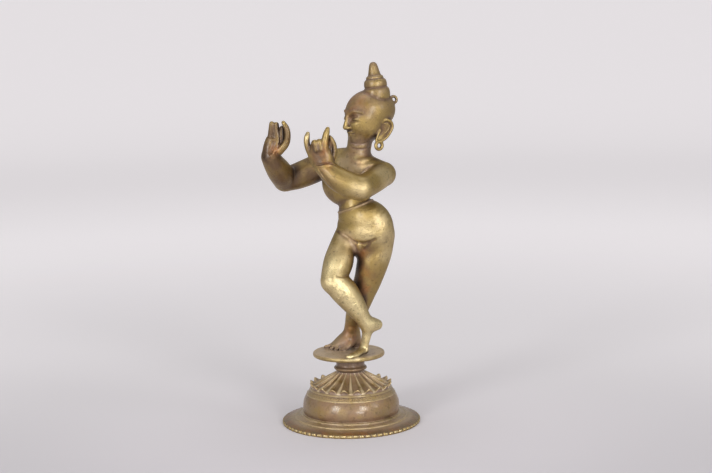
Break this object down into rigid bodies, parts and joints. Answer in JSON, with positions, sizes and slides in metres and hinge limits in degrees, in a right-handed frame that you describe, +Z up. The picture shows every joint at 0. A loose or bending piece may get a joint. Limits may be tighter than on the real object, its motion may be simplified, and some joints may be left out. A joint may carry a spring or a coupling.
{
  "type": "krishna figure",
  "caption": "Small cast brass altar figure of a cross-legged flute player on a round foot disc, on a bell-shaped pedestal with a lotus top and a notched rim.",
  "frame": {"origin": "centre of the pedestal's resting plane, under the bell", "axes": "+Z up; the figure's front faces -Y and its left side is +X"},
  "size_m": [0.0957, 0.0932, 0.2405],
  "materials": {
    "figure_brass": "old cast brass, worn golden on the high points, brown in the hollows, finely pitted",
    "pedestal_brass": "old cast brass with a brown patina, golden on the worn ridges, dull grey-brown film on the flange and collar"
  },
  "bodies": {
    "root": {"figure": "figure_brass", "pedestal": "pedestal_brass"}
  },
  "joints": []
}
